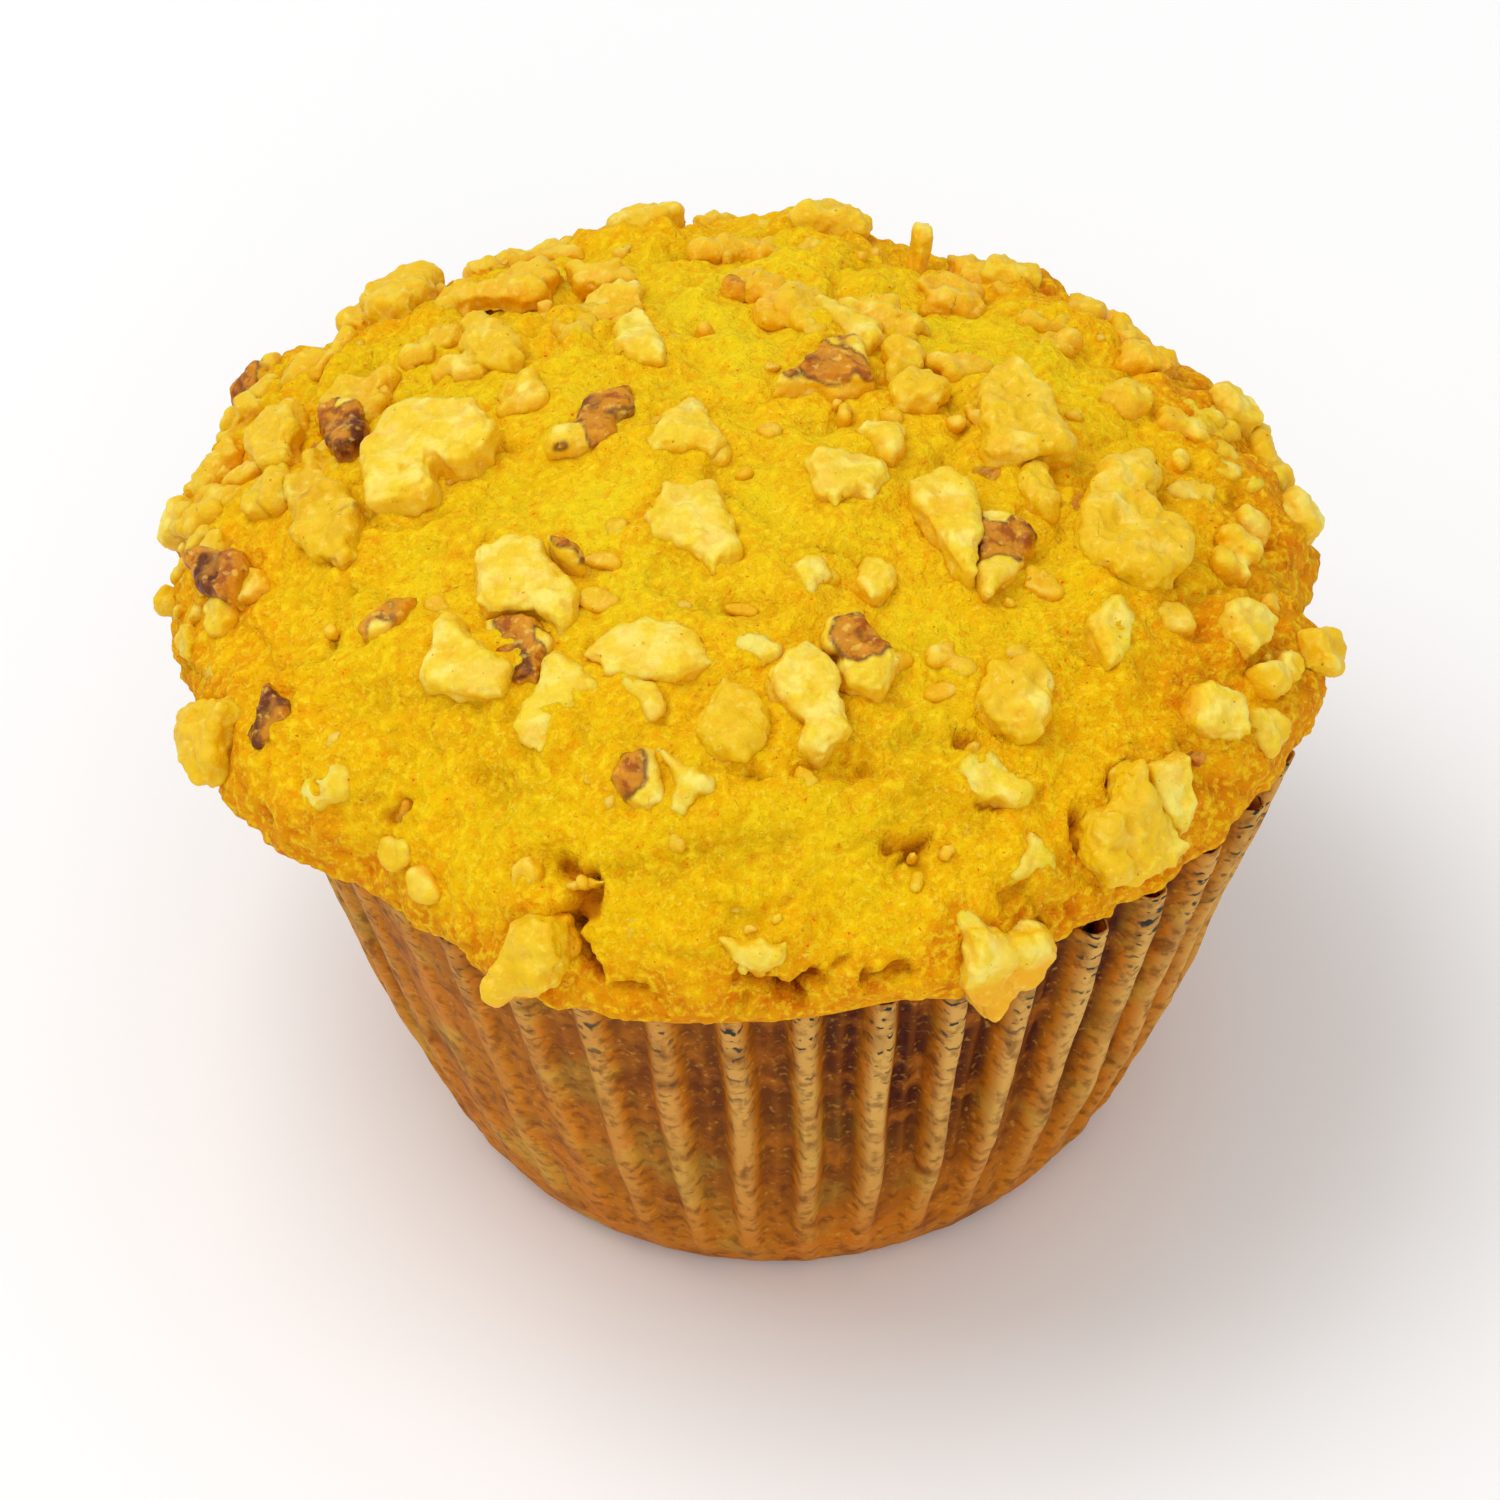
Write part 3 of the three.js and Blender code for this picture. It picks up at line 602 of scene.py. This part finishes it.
def weather(source, name, seed, voxel=VOXEL, rounding=3, rough=1.0, sink=0.0):
    """Turns a faceted lump into a broken piece of kernel: rounded edges and an uneven surface."""
    lump = bpy.data.objects.new(name, source.copy())
    bpy.context.scene.collection.objects.link(lump)
    remesh = lump.modifiers.new("fine", "REMESH")
    remesh.mode = "VOXEL"
    remesh.voxel_size = voxel * 0.001
    soften = lump.modifiers.new("soften", "SMOOTH")
    soften.factor = 0.5
    soften.iterations = rounding
    bpy.context.view_layer.update()
    shaped = lump.evaluated_get(bpy.context.evaluated_depsgraph_get())
    mesh = bpy.data.meshes.new_from_object(shaped)
    lump.modifiers.clear()
    lump.data = mesh
    mesh.materials.clear()
    points, normals = shape_of(mesh)
    push = 0.34 * ripple(points, 2.6, seed) + 0.2 * ripple(points, 1.2, seed + 5)
    push = push + 0.09 * ripple(points, 0.5, seed)
    push = push + 0.45 * grains(points, 2.4, seed) - 0.25 * grains(points, 1.1, seed + 2)
    points = points + rough * push[:, None] * normals - np.array([0, 0, sink])
    mesh.vertices.foreach_set("co", (points * 0.001).ravel())
    mesh.polygons.foreach_set("use_smooth", [True] * len(mesh.polygons))
    mesh.update()
    return lump, points


def dress(piece, points, seed, skin, dark=0.0, coated=0.0, dish=None):
    """Paints a kernel's low part more orange, partly batter and partly painted shade where it meets
    the crust, paints shade on its sides, paints its skin, and gives it its finish.

    A dish is a round patch of skin: its middle from the piece's, in x and y, and its radius.
    """
    _, normals = shape_of(piece.data)
    outward = points.mean(axis=0) - np.array([*CROWN_CENTRE, 12])
    facing = normals @ (outward / np.linalg.norm(outward))
    film = ease(-0.25, 0.25, ripple(points, 2.4, seed + 9) + coated - 0.5)
    paint(piece, "coated", film * ease(0.0, 0.3, coated))
    # Partly batter, partly painted shade: the low part of a piece, near the crust, is painted more
    # orange.
    paint(piece, "low", 1 - ease(0.1, 1.7, crown_height(points) + 0.4 * ripple(points, 1.2, seed)))
    # Painted shade: the sides that face away from the outside of the crown are painted more orange.
    paint(piece, "side", 1 - ease(0.3, 0.9, facing + 0.25 * ripple(points, 1.2, seed)))
    cover = ripple(points, 4.0, seed) + 0.25 * ripple(points, 1.2, seed) + 0.08 + 0.5 * dark
    if dish:
        middle = points.mean(axis=0)[:2] + np.array(dish[:2])
        away = np.linalg.norm(points[:, :2] - middle, axis=1)
        cover = 0.3 * (dish[2] - away + 0.3 * ripple(points, 1.2, seed))
    paint(piece, "skin", ease(-0.12, 0.1, cover))
    rind = 0.9 * np.exp(-((cover / 0.05) ** 2)) + ease(0.35, 0.6, cover)
    paint(piece, "rind", np.clip(rind, 0, 1))
    piece.data.materials.append(skinned_kernel if skin else bare_kernel)
    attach(piece, "root")


def kernel_finish(name, skin):
    """Walnut kernel. With skin, a part of it is amber, and brown along the skin's edge."""
    kernel = Finish(name, srgb(238, 206, 46))
    kernel.coat(srgb(246, 228, 118), kernel.speckle(1.8, 0.44, 0.58), 0.7)
    kernel.coat(srgb(234, 192, 14), kernel.speckle(2.6, 0.46, 0.6), 0.6)
    # Painted shade on the sides of the piece.
    kernel.coat(srgb(234, 184, 4), kernel.layer("side"), 0.75)
    if skin:
        kernel.coat(srgb(200, 122, 0), kernel.layer("skin"), 0.9)
        veins = kernel.math("MULTIPLY", kernel.speckle(1.1, 0.5, 0.6, 6.0), kernel.layer("skin"))
        kernel.coat(srgb(150, 60, 0), veins, 0.75)
        kernel.coat(srgb(84, 28, 8), kernel.layer("rind"), 0.9)
        rosy = kernel.math("MULTIPLY", kernel.speckle(0.8, 0.5, 0.64, 5.0), kernel.layer("rind"))
        kernel.coat(srgb(160, 88, 44), rosy, 0.5)
    kernel.coat(srgb(232, 186, 0), kernel.layer("coated"), 0.85)
    # The low part near the crust: partly batter colour, partly painted shade.
    kernel.coat(srgb(238, 168, 0), kernel.layer("low"), 0.8)
    kernel.coat(srgb(234, 160, 2), kernel.speckle(1.6, 0.54, 0.68), 0.35)
    kernel.coat(srgb(252, 226, 100), kernel.speckle(0.6, 0.58, 0.68), 0.35)
    kernel.coat(srgb(150, 96, 24), kernel.speckle(0.5, 0.75, 0.78, 1.0), 0.6)
    kernel.bump(kernel.speckle(0.7, 0.2, 0.8), 0.16, 0.8)
    kernel.bump(kernel.speckle(0.2, 0.2, 0.8), 0.04, 0.6)
    return kernel.done(
        0.48,
        Subsurface_Weight=0.3,
        Subsurface_Radius=(1.0, 0.6, 0.12),
        Subsurface_Scale=0.002,
        Specular_IOR_Level=0.22,
    )


bare_kernel = kernel_finish("bare_kernel", False)
skinned_kernel = kernel_finish("skinned_kernel", True)
slots = {part["node"]: part["material_slot"] for part in frame["record"]["subparts"]}
UNDER_BATTER = (9, 10, 13, 19, 28, 29, 30, 31, 33, 38, 42, 45, 50, 56)
COATED = {f"walnut_{number:02d}" for number in UNDER_BATTER}
DISHES = {"walnut_21": (0.2, 0.5, 1.9), "walnut_22": (-0.7, 0.0, 1.3)}
DARK_SKINS = {"walnut_12": 0.5, "walnut_44": 1.0, "walnut_46": 0.5, "walnut_27": 0.2}
for number, name in enumerate(kernels):
    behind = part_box(name)[0].y > BEHIND
    worn = {"rounding": 8, "rough": 1.3, "sink": 1.0} if behind else {}
    if name in COATED and not behind:
        worn = {"rounding": 7, "rough": 1.4}
    piece, points = weather(frame["nodes"][name].data, name + "_kernel", 3.7 * number, **worn)
    coated = 0.85 if name in COATED or (behind and slots[name] == "kernel") else 0.0
    slot, dark = slots[name], DARK_SKINS.get(name, 0.0)
    dress(piece, points, number, slot == "skin", dark, coated, DISHES.get(name))
    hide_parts(name)


# ---------------------------------------------------------------- The walnut crumbs
# Smaller chips and flakes of the same walnut, scattered between the pieces. Some are kernel and
# some are bits of brown skin, and the smallest ones were left by the chopping.

# Bearing and tilt on the crown, length, width, how far it stands out, and the length's heading.
CHIPS = [
    (253, 36, 3.2, 1.8, 0.9, -20), (274, 28, 3.4, 1.8, 0.9, -5), (237, 26, 3.0, 2.2, 0.8, -15),
    (272, 23, 2.8, 1.0, 0.4, -10), (254, 24, 2.4, 1.0, 0.4, -20), (298, 35, 1.6, 1.0, 0.5, 10),
    (229, 31, 2.2, 1.4, 0.7, -20), (327, 37, 3.0, 2.4, 0.8, 20), (301, 41, 2.4, 1.5, 0.5, 0),
    (303, 56, 3.0, 1.8, 0.7, -30), (330, 74, 2.4, 1.2, 0.8, 20), (227, 76, 3.3, 1.8, 0.8, -40),
    (232, 79, 2.7, 1.8, 0.7, -30), (216, 79, 1.4, 1.0, 0.6, 80), (252, 63, 2.9, 0.7, 0.4, 0),
    (258, 68, 1.3, 1.3, 0.5, 0), (272, 67, 1.0, 0.8, 0.7, 80), (268, 65, 1.3, 1.0, 0.4, 0),
    (293, 52, 1.6, 0.8, 0.5, -40), (294, 61, 1.0, 0.6, 0.4, -40), (186, 57, 1.3, 1.3, 0.5, 0),
    (191, 37, 2.6, 1.5, 0.7, 15), (187, 36, 3.0, 1.5, 0.7, 10), (115, 6, 2.0, 2.0, 0.8, 0),
    (240, 2, 2.4, 2.4, 0.7, 0), (172, 10, 2.2, 2.0, 0.7, -20), (150, 8, 2.4, 1.4, 0.6, 0),
    (18, 5, 1.7, 1.5, 0.5, 20), (290, 5, 1.5, 1.0, 0.5, 30), (60, 54, 2.5, 1.8, 2.8, 90),
]
SKIN_FLAKES = [
    (206, 42, 5.4, 2.2, 1.3, 30), (222, 24, 3.0, 1.2, 3.0, -45), (279, 8, 0.8, 0.6, 0.5, 60),
    (245, 38, 1.2, 0.7, 0.6, 20), (84, 30, 2.6, 1.6, 0.9, -30), (276, 37, 0.7, 0.5, 0.4, 0),
    (278, 27, 1.6, 0.5, 0.6, 70), (226, 67, 1.4, 0.5, 0.5, 60), (320, 70, 1.5, 1.2, 2.2, 0),
    (346, 37, 2.2, 1.0, 0.8, 80), (342, 34, 1.0, 0.8, 0.7, 0), (336, 33, 2.2, 1.0, 0.8, 20),
    (349, 27, 2.4, 1.4, 0.8, 0), (354, 29, 1.8, 0.8, 0.8, 10), (56, 19, 1.6, 0.5, 1.2, 20),
    (52, 12, 1.8, 0.9, 0.6, 60), (35, 17, 1.6, 0.5, 1.0, -60), (14, 13, 1.8, 0.7, 0.8, 80),
    (162, 12, 2.6, 0.6, 1.4, 85), (172, 17, 2.0, 0.7, 0.6, 40), (331, 81, 1.6, 0.8, 0.7, 10),
    (164, 46, 2.2, 1.4, 0.8, 0), (180, 29, 2.4, 1.0, 0.7, 10), (184, 40, 2.2, 1.0, 0.6, 70),
    (218, 72, 2.8, 0.9, 0.6, -20), (208, 69, 1.4, 0.5, 0.6, 70),
]


def chipped(chip, seed, corners=7):
    """A flat-topped chip, as points and faces: three rings of corners and two caps."""
    bearing, tilt, length, width, high, heading = chip
    here = crown_surface(bearing, tilt)
    normal = np.cross(crown_surface(bearing, tilt + 1) - here, crown_surface(bearing + 1, tilt) - here)
    normal /= np.linalg.norm(normal)
    across = np.array([1.0, 0, 0]) if abs(normal[0]) < 0.7 else np.cross((0, 0.69, 0.72), normal)
    across = across - (across @ normal) * normal
    across /= np.linalg.norm(across)
    up = np.cross(normal, across)
    chance = np.random.default_rng(seed)
    turn = (np.arange(corners) + 0.7 * chance.random(corners)) * 2 * np.pi / corners
    far = 0.8 + 0.35 * chance.random(corners)
    long, wide = 0.5 * length * far * np.cos(turn), 0.5 * width * far * np.sin(turn)
    lean = np.radians(heading)
    right = long * np.cos(lean) - wide * np.sin(lean)
    above = long * np.sin(lean) + wide * np.cos(lean)
    tip = 0.25 * (chance.random(2) - 0.5)
    rings = []
    for shrink, height in ((1.0, -0.8), (1.0, 0.75 * high), (0.8, high)):
        x, y = shrink * right, shrink * above
        rise = height + (x * tip[0] + y * tip[1] if height > 0 else 0 * x)
        rings.append(here + x[:, None] * across + y[:, None] * up + rise[:, None] * normal)
    ring = np.arange(corners)
    walls = []
    after = np.roll(ring, -1)
    for lower in (0, corners):
        upper = lower + corners
        walls += np.stack([lower + ring, lower + after, upper + after, upper + ring], -1).tolist()
    return np.concatenate(rings), walls + [ring[::-1].tolist(), (2 * corners + ring).tolist()]


def scatter(name, chips, seed, skin, coated=0.0, rough=0.9):
    """Many chips as one piece."""
    points, faces = [], []
    for number, chip in enumerate(chips):
        own, walls = chipped(chip, seed + number)
        first = sum(len(part) for part in points)
        points.append(own)
        faces += [[first + corner for corner in wall] for wall in walls]
    block = new_piece(name + "_block", np.concatenate(points), faces)
    piece, points = weather(block.data, name, seed, CHIP_VOXEL, 3, rough)
    bpy.data.objects.remove(block)
    dress(piece, points, seed, skin, 0.0, coated)
    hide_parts("muffin_cake")


crumbs = []
chance = np.random.default_rng(8)
for _ in range(90):
    spot = (360 * chance.random(), 80 * math.sqrt(chance.random()))
    length = 0.6 + 1.0 * chance.random()
    high = 0.45 + 0.3 * chance.random()
    crumbs.append((*spot, length, 0.8 * length, high, 180 * chance.random()))
sprinkled = []
sprinkle = np.random.default_rng(31)
for _ in range(34):
    length = 1.2 + 1.8 * sprinkle.random()
    wide = (0.5 + 0.4 * sprinkle.random()) * length
    spot = (180 + 200 * sprinkle.random(), 12 + 64 * sprinkle.random())
    high = 0.4 + 0.4 * sprinkle.random()
    sprinkled.append((*spot, length, wide, high, 180 * sprinkle.random()))
# The two sides carry more of them, up to the rim.
for number in range(30):
    length = 2.0 + 2.2 * sprinkle.random()
    wide = (0.6 + 0.3 * sprinkle.random()) * length
    left_or_right = 168 if number % 2 else 352
    spot = (left_or_right + 44 * (sprinkle.random() - 0.5), 52 + 32 * sprinkle.random())
    high = 0.8 + 0.9 * sprinkle.random()
    sprinkled.append((*spot, length, wide, high, 180 * sprinkle.random()))
scatter("walnut_chips", CHIPS + sprinkled, 20, False, 0.55)

# At the back the pieces lie close together, under a film of batter.
buried = []
for bearing in range(8, 176, 7):
    for tilt in (22, 38, 54, 68):
        length = 3.2 + 3.0 * chance.random()
        high = 0.6 + 0.7 * chance.random()
        spot = (bearing + 6 * chance.random(), tilt + 10 * chance.random())
        if chance.random() < 0.62:
            wide = (0.55 + 0.3 * chance.random()) * length
            buried.append((*spot, length, wide, high, 180 * chance.random()))
scatter("buried_chips", buried, 300, False, 0.8, 1.8)
scatter("walnut_crumbs", crumbs, 120, False)
scatter("skin_flakes", SKIN_FLAKES, 400, True)


# ---------------------------------------------------------------- The table and the light
# A plain white table under a large soft light from the upper left, with a weaker one on the right.

table_mesh = bpy.data.meshes.new("table")
table_mesh.from_pydata([(-3, -3, 0), (3, -3, 0), (3, 3, 0), (-3, 3, 0)], [], [(0, 1, 2, 3)])
table = bpy.data.objects.new("table", table_mesh)
bpy.context.scene.collection.objects.link(table)
table_finish = Finish("white_table", srgb(250, 250, 250))
table.data.materials.append(table_finish.done(0.8))

world = bpy.data.worlds.new("studio")
bpy.context.scene.world = world
world.use_nodes = True
world.node_tree.nodes["Background"].inputs["Color"].default_value = (1, 1, 1, 1)
world.node_tree.nodes["Background"].inputs["Strength"].default_value = 0.68


def soft_light(name, place, size, power):
    """A square soft light, aimed at the middle of the muffin."""
    data = bpy.data.lights.new(name, "AREA")
    data.size = size
    data.energy = power
    light = bpy.data.objects.new(name, data)
    light.location = place
    light.rotation_mode = "QUATERNION"
    light.rotation_quaternion = (Vector(place) - AIM).to_track_quat("Z", "Y")
    bpy.context.scene.collection.objects.link(light)


soft_light("key", (-0.2, 0.05, 0.6), 0.38, 1.6)
soft_light("fill", (0.15, -0.6, 0.3), 0.5, 0.9)
bpy.context.scene.view_settings.view_transform = "Standard"
